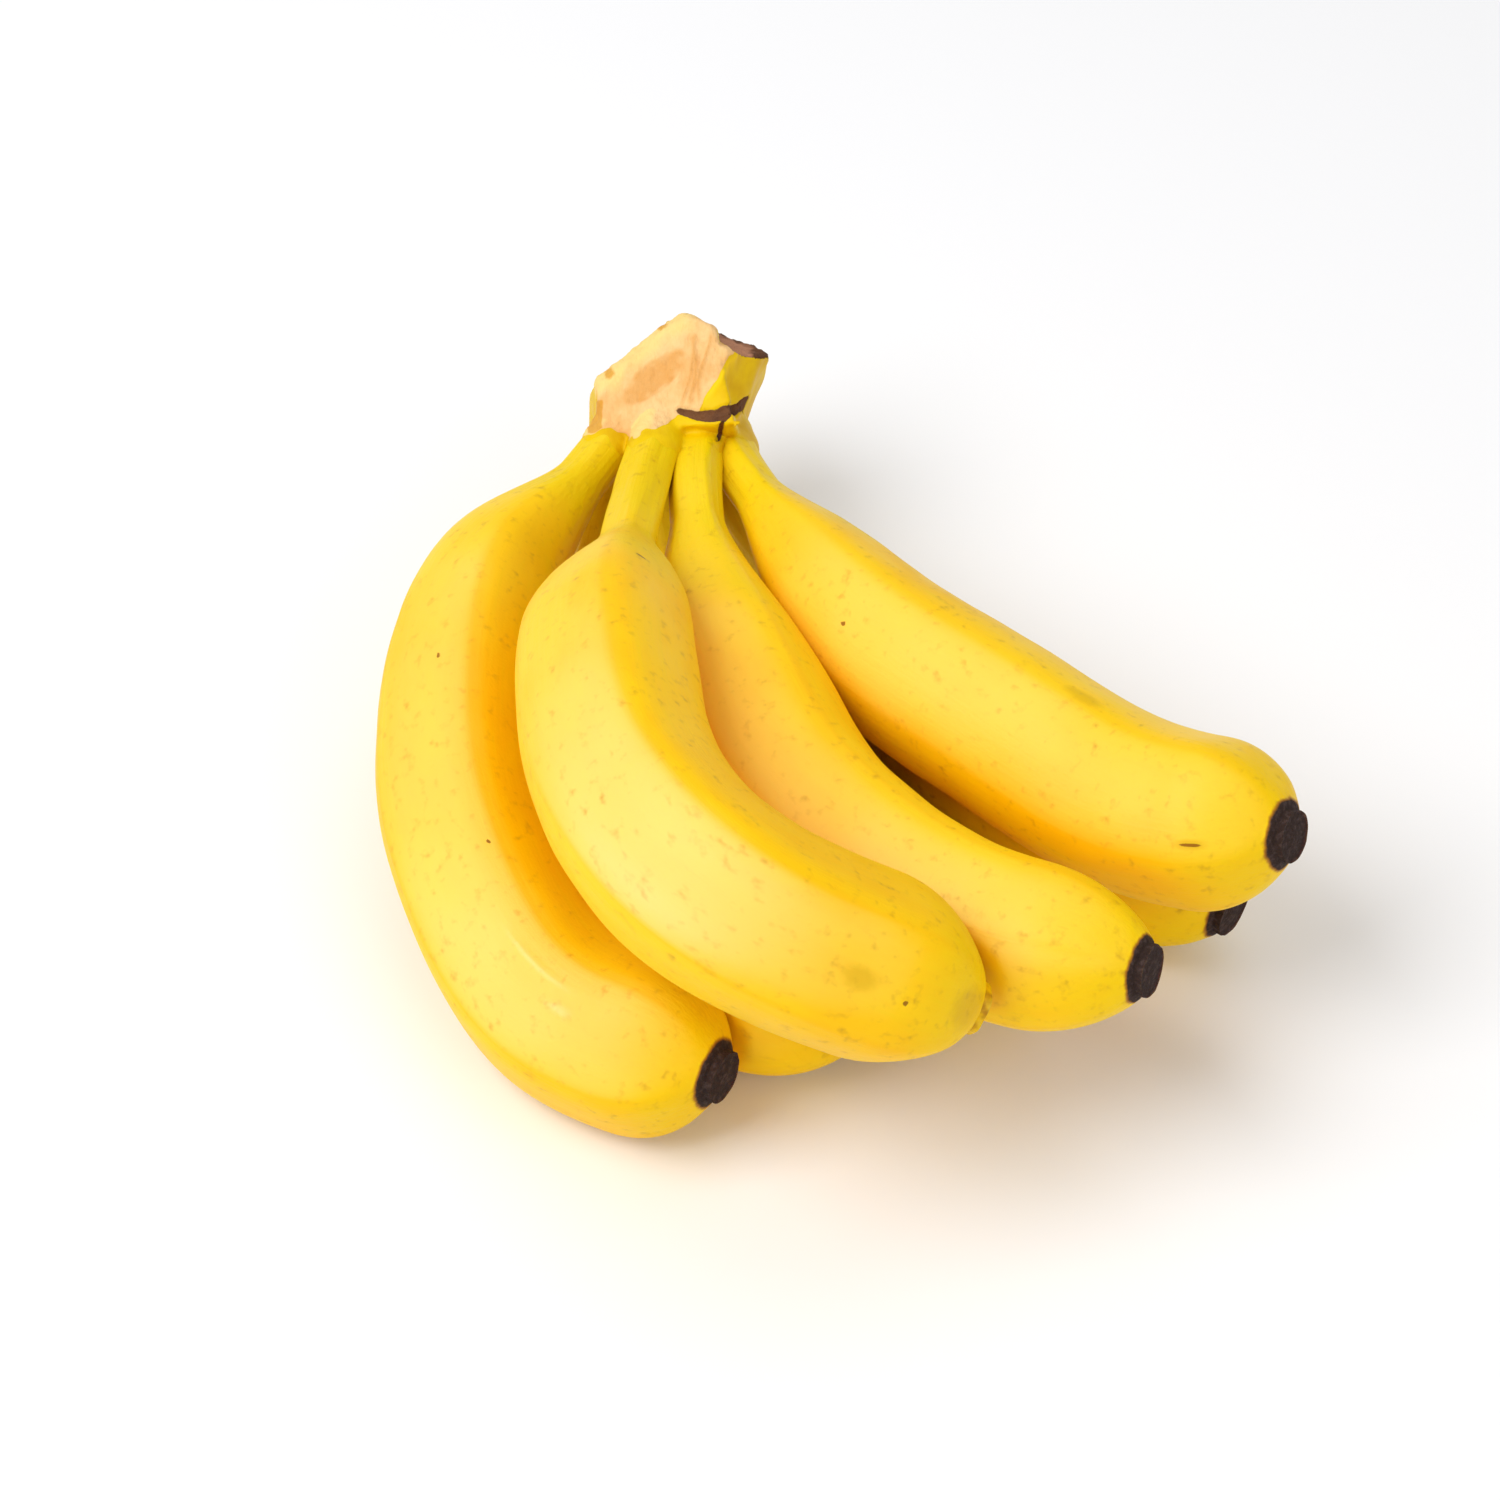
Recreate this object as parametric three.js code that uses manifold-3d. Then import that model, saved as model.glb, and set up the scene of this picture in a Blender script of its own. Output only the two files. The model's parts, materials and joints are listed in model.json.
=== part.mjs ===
// A hand of seven bananas lying on its side on a flat surface.
//
// The seven fruits grow in two rows from one woody crown. The outer row (left, top, middle,
// right) lies over the inner row (lower_left, lower_middle, lower_right), whose bellies rest on the
// surface. Each fruit is one tapered body with a softly five-sided section: a thin stem, a neck
// that swells into the belly, and a blunt end with a short stub. Neighbours that press together
// are cut back so that a narrow gap stays between them.
//
// Millimetres, +Z up. The crown is at the back (+Y), the fruit tips point to the front and right.

import * as THREE from 'three';
import { mergeVertices } from 'three/addons/utils/BufferGeometryUtils.js';
import Module from 'manifold-3d';

// ---- Driving dimensions (mm) ------------------------------------------------------------------

const GAP = 0.3; // kept between any two pieces that touch
const STEM_RADIUS = 5.6; // half thickness of a stem where it leaves the crown
const TIP_RADIUS = 5.3; // half thickness of the dry stub at the blossom end
const STUB_LENGTH = 1.6; // length of that stub
const RIDGE_HEIGHT = 0.035; // height of the five ridges, as a share of the local radius
const SIDES = 5; // ridges around a fruit
const RADIAL_STEPS = 20; // mesh steps around a fruit
const LENGTH_STEPS = 24; // mesh steps along a fruit

// The place of the origin, at the bottom centre of the hand, seen from the crown's own centre line.
const ORIGIN_FROM_CROWN = new THREE.Vector3(29.85, -91.3, -0.45);

// One row per fruit. radius: largest half thickness. stem: thin length at the crown. neck: length
// over which it swells. taper: length of the blunt end. roll: turn of the ridges, in degrees. path:
// its centre line, measured from the crown's centre line with the supporting surface at Z 0.
const FRUITS = {
  banana_top: {
    radius: 18.4, stem: 50, neck: 56, taper: 23, roll: -10, colour: 0xffdf62,
    path: [[-6, -16, 44], [-9.5, -40.5, 49], [-13, -80.5, 60], [-14.5, -120.5, 70], [-8, -159, 74],
      [13.5, -183.5, 70], [57.5, -185.5, 45.5]],
  },
  banana_left: {
    radius: 18.0, stem: 20, neck: 60, taper: 20, roll: 12, colour: 0xffd83c,
    path: [[-13, -9, 42], [-24, -29, 40.5], [-40, -54, 37], [-46, -88, 34], [-42.5, -125, 26.5],
      [-24.5, -160, 18], [9, -181, 20]],
  },
  banana_middle: {
    radius: 17.0, stem: 34, neck: 66, taper: 26, roll: -32, colour: 0xffd640,
    path: [[3, -12, 40], [2, -37, 45], [5, -68, 45], [13, -102, 47], [27, -136, 47],
      [56, -161, 43.5], [91, -179.5, 49.5]],
  },
  banana_right: {
    radius: 18.1, stem: 28, neck: 70, taper: 20, roll: 17, colour: 0xffd93e,
    path: [[8.5, -6, 35], [12.5, -25, 40], [26, -53, 42], [42, -82, 43], [64, -105.5, 44.5],
      [91, -128, 43], [121, -147, 53]],
  },
  banana_lower_left: {
    radius: 16.4, stem: 28, neck: 74, taper: 26, roll: 0, colour: 0xf2c322,
    path: [[-13, -4, 31], [-19, -25, 26], [-21, -51, 19], [-17, -85, 17], [-7, -121, 17],
      [13, -154, 16], [38, -163, 16.5]],
  },
  banana_lower_middle: {
    radius: 16.0, stem: 30, neck: 74, taper: 26, roll: 0, colour: 0xf2c322,
    path: [[-3, -4, 30], [-3, -28, 25], [4, -54, 18], [16, -81, 16], [31, -107, 16],
      [50, -133, 16], [68.5, -154, 17]],
  },
  banana_lower_right: {
    radius: 16.2, stem: 28, neck: 80, taper: 24, roll: 0, colour: 0xf2c322,
    path: [[7, -1, 28], [13, -21, 24], [27, -39, 18], [44, -62, 16], [61, -87, 16],
      [86, -113, 17], [113, -134, 17]],
  },
};

// The crown: its face outline, drawn in a plane that leans back by CROWN_LEAN, and its thickness.
const CROWN_OUTLINE = [[-17, -9.5], [-21, -6], [-21, 2.5], [-19.5, 5.5], [-10, 13], [-3.5, 18.4],
  [-0.5, 19.4], [6, 15.6], [16.6, 12.4], [17, 8], [15, 1.5], [13, -4], [9, -9], [0, -10.5]];
const CROWN_LEAN = THREE.MathUtils.degToRad(45);
const CROWN_HEIGHT = 40; // of its centre above the surface
const CROWN_BACK = -13; // from the centre, through its thickness
const CROWN_FRONT = 22;
const CROWN_ROUNDING = 3;
// Two faces slope off the crown's front. Their directions are given in the leaning frame.
const STALK_CUT = { normal: [-0.25, 0.29, 0.92], distance: 17.6 };
const STALK_FLANK = { normal: [0.756, -0.252, 0.605], distance: 15.5 };
const WASTE_SIZE = 70; // of the blocks that are cut away along those faces

// ---- Helpers ----------------------------------------------------------------------------------

const wasm = await Module();
wasm.setup();

/** Turns a closed three.js geometry into a manifold solid. */
function toSolid(geometry) {
  const bare = geometry.clone();
  for (const name of ['normal', 'uv']) bare.deleteAttribute(name);
  const merged = mergeVertices(bare, 1e-4);
  return new wasm.Manifold(new wasm.Mesh({
    numProp: 3,
    vertProperties: new Float32Array(merged.attributes.position.array),
    triVerts: new Uint32Array(merged.index.array),
  }));
}

/** Turns a manifold solid back into a three.js geometry. */
function toGeometry(solid) {
  const { vertProperties, triVerts } = solid.getMesh();
  const geometry = new THREE.BufferGeometry();
  geometry.setAttribute('position', new THREE.BufferAttribute(vertProperties, 3));
  geometry.setIndex(new THREE.BufferAttribute(triVerts, 1));
  geometry.computeVertexNormals();
  return geometry;
}

// ---- One fruit --------------------------------------------------------------------------------

/** Half thickness of a fruit at a distance along its centre line. */
function radiusAt(fruit, distance, length) {
  const swell = 1 - Math.exp(-3.4 * Math.max(0, (distance - fruit.stem) / fruit.neck) ** 1.5);
  const along = THREE.MathUtils.clamp((distance / length - 0.55) / 0.45, -1, 1);
  const belly = fruit.radius * (1 - 0.06 * along * along);
  const bodyRadius = STEM_RADIUS + (belly - STEM_RADIUS) * swell;
  if (distance < length / 2) return bodyRadius;
  const fromEnd = THREE.MathUtils.clamp((length - STUB_LENGTH - distance) / fruit.taper, 0, 1);
  const bluntness = (1 - (1 - fromEnd) ** 2.2) ** 0.78;
  return TIP_RADIUS + (bodyRadius - TIP_RADIUS) * bluntness;
}

/** The direction square to the plane that a fruit curves in. */
function bendNormal(curve) {
  const [start, middle, end] = [0, 0.5, 1].map((u) => curve.getPointAt(u));
  return middle.clone().sub(start).cross(end.sub(middle)).normalize();
}

/** Geometry of a fruit, swollen all round by the given amount. */
function fruitGeometry(fruit, swollen = 0) {
  const curve = new THREE.CatmullRomCurve3(
    fruit.path.map((point) => new THREE.Vector3(...point)), false, 'catmullrom', 0.5);
  const length = curve.getLength();
  const roll = THREE.MathUtils.degToRad(fruit.roll);
  const outline = [new THREE.Vector2(0, 0)];
  for (let step = 0; step <= LENGTH_STEPS; step += 1) {
    // Steps crowd together towards the blunt end, where the shape turns fastest.
    const share = step / LENGTH_STEPS;
    const distance = (length - STUB_LENGTH) * (share + 0.17 * Math.sin(Math.PI * share) * share);
    outline.push(new THREE.Vector2(radiusAt(fruit, distance, length) + swollen, distance));
  }
  outline.push(new THREE.Vector2(TIP_RADIUS + swollen, length), new THREE.Vector2(0, length));

  const geometry = new THREE.LatheGeometry(outline, RADIAL_STEPS);
  const position = geometry.attributes.position;
  const square = bendNormal(curve);
  const vertex = new THREE.Vector3();
  for (let index = 0; index < position.count; index += 1) {
    vertex.fromBufferAttribute(position, index);
    const along = THREE.MathUtils.clamp(vertex.y / length, 0, 1);
    const tangent = curve.getTangentAt(along);
    const side = square.clone().addScaledVector(tangent, -square.dot(tangent)).normalize();
    const outward = tangent.clone().cross(side);
    const ridge = 1 + RIDGE_HEIGHT * Math.cos(SIDES * (Math.atan2(vertex.z, vertex.x) - roll));
    const overrun = (along === 0 ? -1 : along === 1 ? 1 : 0) * swollen;
    const place = curve.getPointAt(along)
      .addScaledVector(outward, vertex.x * ridge)
      .addScaledVector(side, vertex.z * ridge)
      .addScaledVector(tangent, overrun);
    position.setXYZ(index, place.x, place.y, place.z);
  }
  return geometry;
}

// ---- The crown --------------------------------------------------------------------------------

/** The woody crown before the stems are let into it. */
function crownSolid() {
  const outline = new THREE.Shape(CROWN_OUTLINE.map((point) => new THREE.Vector2(...point)));
  const block = new THREE.ExtrudeGeometry(outline, {
    depth: CROWN_FRONT - CROWN_BACK - 2 * CROWN_ROUNDING,
    bevelThickness: CROWN_ROUNDING,
    bevelSize: CROWN_ROUNDING,
    bevelOffset: -CROWN_ROUNDING,
    bevelSegments: 3,
    curveSegments: 1,
  });
  block.translate(0, 0, CROWN_BACK + CROWN_ROUNDING);

  block.rotateX(CROWN_LEAN);
  block.translate(0, 0, CROWN_HEIGHT);
  let solid = toSolid(block);

  for (const face of [STALK_CUT, STALK_FLANK]) {
    const normal = new THREE.Vector3(...face.normal).normalize();
    const turn = new THREE.Quaternion().setFromUnitVectors(new THREE.Vector3(0, 0, 1), normal);
    const waste = new THREE.BoxGeometry(WASTE_SIZE, WASTE_SIZE, WASTE_SIZE);
    waste.translate(0, 0, face.distance + WASTE_SIZE / 2);
    waste.applyQuaternion(turn);
    waste.rotateX(CROWN_LEAN);
    waste.translate(0, 0, CROWN_HEIGHT);
    solid = solid.subtract(toSolid(waste));
  }
  return solid;
}

// ---- The hand ---------------------------------------------------------------------------------

const group = new THREE.Group();
group.position.copy(ORIGIN_FROM_CROWN).negate();

/** Adds one named piece to the hand. */
function addPiece(name, solid, colour, roughness) {
  const material = new THREE.MeshStandardMaterial({ color: colour, roughness, metalness: 0 });
  const mesh = new THREE.Mesh(toGeometry(solid), material);
  mesh.name = name;
  group.add(mesh);
}

let crown = crownSolid();
const placed = [];
for (const [name, fruit] of Object.entries(FRUITS)) {
  let solid = toSolid(fruitGeometry(fruit));
  for (const neighbour of placed) solid = solid.subtract(neighbour);
  addPiece(name, solid, fruit.colour, 0.45);
  const swollen = toSolid(fruitGeometry(fruit, GAP));
  placed.push(swollen);
  crown = crown.subtract(swollen);
}
addPiece('crown', crown, 0xf2b96b, 0.75);

export default group;
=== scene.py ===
"""Finished look of a hand of seven bananas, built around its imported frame.

Each fruit starts as a straight blank, ring by ring, is given its five soft ridges, is bent along its
centre line and is pressed against its neighbours. The crown is cut from two blocks, grown together
with a collar around every stem. Lengths in the shape tables are millimetres, and the scene is metres.
"""

import json
import logging
import math
from dataclasses import dataclass, field
from enum import Enum

import bpy
import numpy as np
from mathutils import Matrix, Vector

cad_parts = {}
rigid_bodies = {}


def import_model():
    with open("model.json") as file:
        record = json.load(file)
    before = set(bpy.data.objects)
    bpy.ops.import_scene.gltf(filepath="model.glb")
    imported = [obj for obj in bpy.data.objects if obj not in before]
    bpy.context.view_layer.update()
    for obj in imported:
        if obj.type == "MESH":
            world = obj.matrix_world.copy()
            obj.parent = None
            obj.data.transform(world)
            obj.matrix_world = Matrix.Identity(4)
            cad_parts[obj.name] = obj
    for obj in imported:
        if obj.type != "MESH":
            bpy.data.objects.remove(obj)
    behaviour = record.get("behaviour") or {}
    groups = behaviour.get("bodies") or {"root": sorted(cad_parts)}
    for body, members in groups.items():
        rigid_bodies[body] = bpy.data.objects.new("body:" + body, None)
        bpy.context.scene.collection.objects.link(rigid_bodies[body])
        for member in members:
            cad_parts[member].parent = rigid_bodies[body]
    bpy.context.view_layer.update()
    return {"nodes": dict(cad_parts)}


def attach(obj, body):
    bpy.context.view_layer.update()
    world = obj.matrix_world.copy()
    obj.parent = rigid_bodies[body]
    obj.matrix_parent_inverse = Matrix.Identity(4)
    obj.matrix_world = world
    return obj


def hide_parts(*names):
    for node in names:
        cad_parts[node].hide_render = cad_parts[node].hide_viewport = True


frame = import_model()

logging.basicConfig(level=logging.INFO, format="%(message)s")
log = logging.getLogger("bananas")

Point = tuple[float, float, float]
Colour = tuple[float, float, float, float]
Socket = bpy.types.NodeSocket

MM = 0.001
ORIGIN_FROM_CROWN = np.array([29.85, -91.3, -0.45])  # the frame's origin, from the crown's centre line
CROWN_CENTRE = np.array([0.0, 0.0, 40.0])
LEAN = math.radians(45)  # how far the crown's face leans back

STEM_RADIUS = 5.6
TIP_RADIUS = 5.3
STUB_LENGTH = 1.6
RING_POINTS = 20
SMOOTH_LEVELS = 3
SIDES = 5
DRY_END_RINGS = ((0.6, 0.25), (0.9, -0.55), (1.6, 0.35), (1.2, 0.25))  # width and rise, inward
SOFTNESS = 0.5  # of a contact with the floor or a neighbour
GREENING = 0.9  # strength of the green at the neck
PAINTED_SHEEN_SIDE = np.array([-0.32, -0.5, 0.8])  # the way that the side with the painted highlight faces

# Relief of a fruit, as shares of its radius, then of its single marks, in millimetres.
RIDGE_LIFT = 0.009
BROAD_WAVES = 0.010
FINE_WAVES = 0.0035
STEM_GROOVES = 0.012
STUB_CRUST = 0.028
WAX_HEIGHT = 0.35
DASH_DEPTH = 0.12


class Slot(Enum):
    """The record's material slots."""

    PEEL = "peel"
    CROWN = "crown"


def linear(red: int, green: int, blue: int) -> Colour:
    """Turns a display colour of 0 to 255 into the linear colour that shaders use.

    Args:
        red: Display red.
        green: Display green.
        blue: Display blue.

    Returns:
        Linear red, green and blue, with an alpha of 1.
    """
    def one(value: int) -> float:
        """Converts one channel."""
        share = value / 255
        return share / 12.92 if share <= 0.04045 else ((share + 0.055) / 1.055) ** 2.4
    return one(red), one(green), one(blue), 1.0


def smooth(values: np.ndarray, start: float, end: float) -> np.ndarray:
    """Rises smoothly from 0 at start to 1 at end.

    Args:
        values: Where to read it.
        start: Where it is still 0.
        end: Where it has reached 1. It may be lower than start.

    Returns:
        The rise at each value.
    """
    share = np.clip((values - start) / (end - start), 0, 1)
    return share * share * (3 - 2 * share)


def coordinates(mesh: bpy.types.Mesh) -> np.ndarray:
    """Reads a mesh's points as rows of x, y and z."""
    flat = np.empty(len(mesh.vertices) * 3)
    mesh.vertices.foreach_get("co", flat)
    return flat.reshape(-1, 3)


def point_normals(mesh: bpy.types.Mesh) -> np.ndarray:
    """Reads which way a mesh's points face, one row each."""
    normals = np.empty(len(mesh.vertices) * 3)
    mesh.vertices.foreach_get("normal", normals)
    return normals.reshape(-1, 3)


def set_coordinates(mesh: bpy.types.Mesh, points: np.ndarray) -> None:
    """Writes rows of x, y and z back to a mesh."""
    mesh.vertices.foreach_set("co", points.ravel())
    mesh.update()


def paint(mesh: bpy.types.Mesh, name: str, values: np.ndarray) -> None:
    """Stores one number, or one row of three, for each point of a mesh.

    Args:
        mesh: The mesh to store it on.
        name: The name that the material reads.
        values: One value or one row for each point.
    """
    kind, key = ("FLOAT", "value") if values.ndim == 1 else ("FLOAT_VECTOR", "vector")
    layer = mesh.attributes.new(name, kind, "POINT")
    layer.data.foreach_set(key, np.ascontiguousarray(values, dtype=np.float32).ravel())


def deselect() -> None:
    """Leaves every object unselected, so that the next operator acts on its own piece only."""
    if bpy.context.object and bpy.context.object.mode != "OBJECT":
        bpy.ops.object.mode_set(mode="OBJECT")
    bpy.ops.object.select_all(action="DESELECT")


def apply_modifier(piece: bpy.types.Object, kind: str, **settings: object) -> None:
    """Adds one modifier to a piece and applies it.

    Args:
        piece: The piece to change.
        kind: The modifier's type.
        **settings: Its settings by name.
    """
    deselect()
    piece.select_set(True)
    bpy.context.view_layer.objects.active = piece
    modifier = piece.modifiers.new(kind.lower(), kind)
    for name, value in settings.items():
        setattr(modifier, name, value)
    bpy.ops.object.modifier_apply(modifier=modifier.name)


class Noise:
    """Smooth random waves in space, the same on each run."""

    def __init__(self, seed: int, wavelength: float, waves: int = 24) -> None:
        """Draws the waves.

        Args:
            seed: Seed of the random draw.
            wavelength: Typical distance from crest to crest, in the points' own units.
            waves: How many waves are added together.
        """
        draw = np.random.default_rng(seed)
        direction = draw.normal(size=(waves, 3))
        direction /= np.linalg.norm(direction, axis=1)[:, None]
        stretch = draw.uniform(0.6, 1.6, waves)[:, None]
        self.waves = direction * stretch * (2 * math.pi / wavelength)
        self.phase = draw.uniform(0, 2 * math.pi, waves)

    def at(self, points: np.ndarray) -> np.ndarray:
        """Height of the waves at each point, mostly between -1 and 1."""
        return np.sin(points @ self.waves.T + self.phase).sum(axis=1) / math.sqrt(len(self.phase) / 2) / 1.6


# ---- Fruits -----------------------------------------------------------------------------------


class Spine:
    """The smooth centre line of a fruit, with a steady frame along it."""

    SEGMENT_STEPS = 60
    SAMPLES = 700

    def __init__(self, path: tuple[Point, ...]) -> None:
        """Runs a smooth line through the path's points.

        Args:
            path: Points in millimetres from the crown's centre line.
        """
        points = np.array(path, dtype=float) - ORIGIN_FROM_CROWN
        points = np.vstack([2 * points[0] - points[1], points, 2 * points[-1] - points[-2]])
        share = np.linspace(0, 1, self.SEGMENT_STEPS, endpoint=False)[:, None]
        line = []
        for before, start, end, after in zip(points, points[1:], points[2:], points[3:]):
            line.append(0.5 * (2 * start + (end - before) * share
                               + (2 * before - 5 * start + 4 * end - after) * share ** 2
                               + (3 * start - before - 3 * end + after) * share ** 3))
        line = np.vstack(line + [points[-2:-1]])
        travelled = np.r_[0, np.cumsum(np.linalg.norm(np.diff(line, axis=0), axis=1))]
        self.length = float(travelled[-1])
        self.distance = np.linspace(0, self.length, self.SAMPLES)
        self.position = self._spread(travelled, line, self.distance)
        tangent = np.gradient(self.position, axis=0)
        self.tangent = tangent / np.linalg.norm(tangent, axis=1)[:, None]
        start, middle, end = self.position[[0, self.SAMPLES // 2, -1]]
        square = np.cross(middle - start, end - middle)
        square /= np.linalg.norm(square)
        side = square - (self.tangent @ square)[:, None] * self.tangent
        self.side = side / np.linalg.norm(side, axis=1)[:, None]
        self.outward = np.cross(self.tangent, self.side)

    @staticmethod
    def _spread(known: np.ndarray, rows: np.ndarray, wanted: np.ndarray) -> np.ndarray:
        """Reads rows that are known at some distances at the wanted distances."""
        return np.stack([np.interp(wanted, known, rows[:, axis]) for axis in range(3)], axis=1)

    def bend(self, blank: np.ndarray) -> np.ndarray:
        """Moves the points of a straight blank onto the bent line.

        Args:
            blank: Points whose x is outward, y to the side and z the distance along, in millimetres.

        Returns:
            Their places in the frame, in millimetres.
        """
        along = np.clip(blank[:, 2], 0, self.length)
        place = self._spread(self.distance, self.position, along)
        outward = self._spread(self.distance, self.outward, along)
        side = self._spread(self.distance, self.side, along)
        tangent = self._spread(self.distance, self.tangent, along)
        over = (blank[:, 2] - along)[:, None]
        return place + blank[:, :1] * outward + blank[:, 1:2] * side + over * tangent


class MarkKind(Enum):
    """The kinds of single mark on a peel. The value is the attribute that holds it."""

    DASH = "dash"
    SMUDGE = "smudge"
    WAX = "wax_and_sheen"


@dataclass(frozen=True)
class Mark:
    """One mark on a peel, with sizes in millimetres and its place around the fruit in degrees."""

    kind: MarkKind
    along: float
    around: float
    length: float
    width: float


@dataclass
class Fruit:
    """One banana, from the end of its stem in the crown to its dry tip. Sizes in millimetres.

    Roll turns its ridges, in degrees. From 0 to 1, char is how dark its tip is, crisp how sharp its ridges
    are and its sheen number how strong the painted highlight on its upper front side is. Freckles is the
    share of places that hold one.
    """

    node: str
    radius: float
    stem: float
    neck: float
    taper: float
    path: tuple[Point, ...]
    seed: int
    roll: float = 0.0
    char: float = 1.0
    crisp: float = 1.0
    painted_sheen: float = 0.2
    freckles: float = 0.02
    marks: tuple[Mark, ...] = ()
    spine: Spine = field(init=False)

    def __post_init__(self) -> None:
        """Runs the centre line."""
        self.spine = Spine(self.path)

    def radius_at(self, distance: np.ndarray) -> np.ndarray:
        """Mean half thickness at each distance along the centre line."""
        distance = np.asarray(distance, dtype=float)
        length = self.spine.length
        swell = 1 - np.exp(-3.4 * np.clip((distance - self.stem) / self.neck, 0, None) ** 1.5)
        along = np.clip((distance / length - 0.55) / 0.45, -1, 1)
        belly = self.radius * (1 - 0.06 * along ** 2)
        body = STEM_RADIUS + (belly - STEM_RADIUS) * swell
        from_end = np.clip((length - STUB_LENGTH - distance) / self.taper, 0, 1)
        blunt = (1 - (1 - from_end) ** 2.2) ** 0.78
        return np.where(distance < length / 2, body, TIP_RADIUS + (body - TIP_RADIUS) * blunt)

    def _rings(self) -> list[float]:
        """Distances of the rings that the blank is extruded through, closer together at the tip."""
        length = self.spine.length
        body = np.linspace(0, length - 34, 26)
        blunt = length - STUB_LENGTH - 30 * (1 - np.linspace(0.1, 1, 9)) ** 1.5
        stub = length - STUB_LENGTH + np.array([0.5, 1.0, 1.5])
        return [float(value) for value in np.r_[body, blunt, stub]]

    def _blank(self) -> bpy.types.Object:
        """Extrudes the straight blank from a disc, ring by ring, and dishes its dry end."""
        rings = self._rings()
        deselect()
        start = float(self.radius_at(rings[0]))
        bpy.ops.mesh.primitive_circle_add(vertices=RING_POINTS, radius=start, fill_type="NGON")
        blank = bpy.context.object
        blank.name = f"{self.node}_fruit"
        bpy.ops.object.mode_set(mode="EDIT")
        bpy.ops.mesh.select_all(action="SELECT")
        for last, here in zip(rings, rings[1:]):
            bpy.ops.mesh.extrude_region_move(TRANSFORM_OT_translate={"value": (0, 0, here - last)})
            ratio = float(self.radius_at(here) / self.radius_at(last))
            bpy.ops.transform.resize(value=(ratio, ratio, 1), center_override=(0, 0, here))
        for width, rise in DRY_END_RINGS:
            bpy.ops.mesh.inset(thickness=width, depth=rise)
        bpy.ops.mesh.select_all(action="SELECT")
        bpy.ops.mesh.normals_make_consistent(inside=False)
        bpy.ops.object.mode_set(mode="OBJECT")
        apply_modifier(blank, "SUBSURF", levels=SMOOTH_LEVELS, render_levels=SMOOTH_LEVELS)
        return blank

    def _ridges(self, around: np.ndarray, along: np.ndarray) -> tuple[np.ndarray, np.ndarray]:
        """Shapes the five-sided section.

        Args:
            around: Angle of each point around the fruit, 0 on the outer curve.
            along: Distance of each point from the crown.

        Returns:
            The radius as a share of the mean one, and how close each point is to a ridge.
        """
        draw = np.random.default_rng(self.seed)
        length = self.spine.length
        centres = math.radians(self.roll) + (np.arange(SIDES) + 0.5) * 2 * math.pi / SIDES
        centres = centres + draw.normal(0, math.radians(2), SIDES)
        weight = draw.uniform(0.97, 1.03, SIDES)
        middle = smooth(along, self.stem + 10, self.stem + 70) * smooth(along, length - 12, length - 60)
        power = 5.2 - (0.8 + 0.8 * (1 - self.crisp)) * middle
        total = np.zeros_like(around)
        for centre, heavy in zip(centres, weight):
            wander = 0.05 * np.sin(along / 41 + centre * 3)
            total += (np.clip(np.cos(around - centre - wander), 0, None) * heavy) ** power
        section = total ** (-1 / power)
        mean = 1 + 0.011 * (power - 2.6)
        edge = np.zeros_like(around)
        for centre in centres + math.pi / SIDES:
            wander = 0.05 * np.sin(along / 41 + centre * 3)
            off = np.abs((around - centre - wander + math.pi) % (2 * math.pi) - math.pi)
            edge = np.maximum(edge, np.exp(-(off / 0.06) ** 2))
        return section / mean, edge * self.crisp

    def _marked(self, kind: MarkKind, around: np.ndarray, along: np.ndarray) -> np.ndarray:
        """Works out the marks of one kind.

        Args:
            kind: The kind wanted.
            around: Angle of each point around the fruit.
            along: Distance of each point from the crown.

        Returns:
            One inside a mark, a half on its outline and 0 away from it.
        """
        found = np.zeros_like(along)
        for mark in self.marks:
            if mark.kind is not kind:
                continue
            turned = (around - math.radians(mark.around) + math.pi) % (2 * math.pi) - math.pi
            far = np.hypot((along - mark.along) / (mark.length / 2),
                           turned * self.radius_at(along) / (mark.width / 2))
            found = np.maximum(found, smooth(far, 1.7, 0.3))
        return found

    def build(self, neighbours: list["Fruit"]) -> bpy.types.Object:
        """Makes the finished fruit.

        Args:
            neighbours: The other fruits, which it is pressed against.

        Returns:
            The piece, with its place in its mesh.
        """
        piece = self._blank()
        points = coordinates(piece.data)
        length = self.spine.length
        along = points[:, 2].copy()
        around = np.arctan2(points[:, 1], points[:, 0])
        flat = np.hypot(points[:, 0], points[:, 1])
        section, edge = self._ridges(around, along)
        section = 1 + (section - 1) * (1 - 0.7 * smooth(along, length - 6, length - 1.5))
        wanted = self.radius_at(along)
        on_wall = smooth(flat / wanted, 0.55, 0.92)
        scale = np.where(on_wall > 0, wanted / np.maximum(flat, 0.1), 1) * on_wall + (1 - on_wall)
        in_body = smooth(along, 8, 30) * smooth(along, length - 3, length - 12)
        grow = section * (1 + RIDGE_LIFT * edge * (0.3 + 0.7 * in_body))
        waves = Noise(self.seed + 1, 46).at(points) * BROAD_WAVES
        waves = waves + Noise(self.seed + 2, 17).at(points) * FINE_WAVES
        grow = grow * (1 + waves * in_body)
        knobbly = Noise(self.seed + 3, 3.4).at(points * np.array([1, 1, 0.35]))
        dry = smooth(along, length - STUB_LENGTH - 1.5, length - STUB_LENGTH + 0.1)
        grow = grow * (1 + STUB_CRUST * knobbly * dry)
        stalk = smooth(along, self.stem + 24, self.stem - 6)
        grooves = np.sin(around * 9 + Noise(self.seed + 4, 60).at(points) * 3)
        grow = grow * (1 + STEM_GROOVES * grooves * stalk)
        marked = {kind: self._marked(kind, around, along) for kind in MarkKind}
        grow = grow + (WAX_HEIGHT * marked[MarkKind.WAX] - DASH_DEPTH * marked[MarkKind.DASH]) / self.radius
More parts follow.
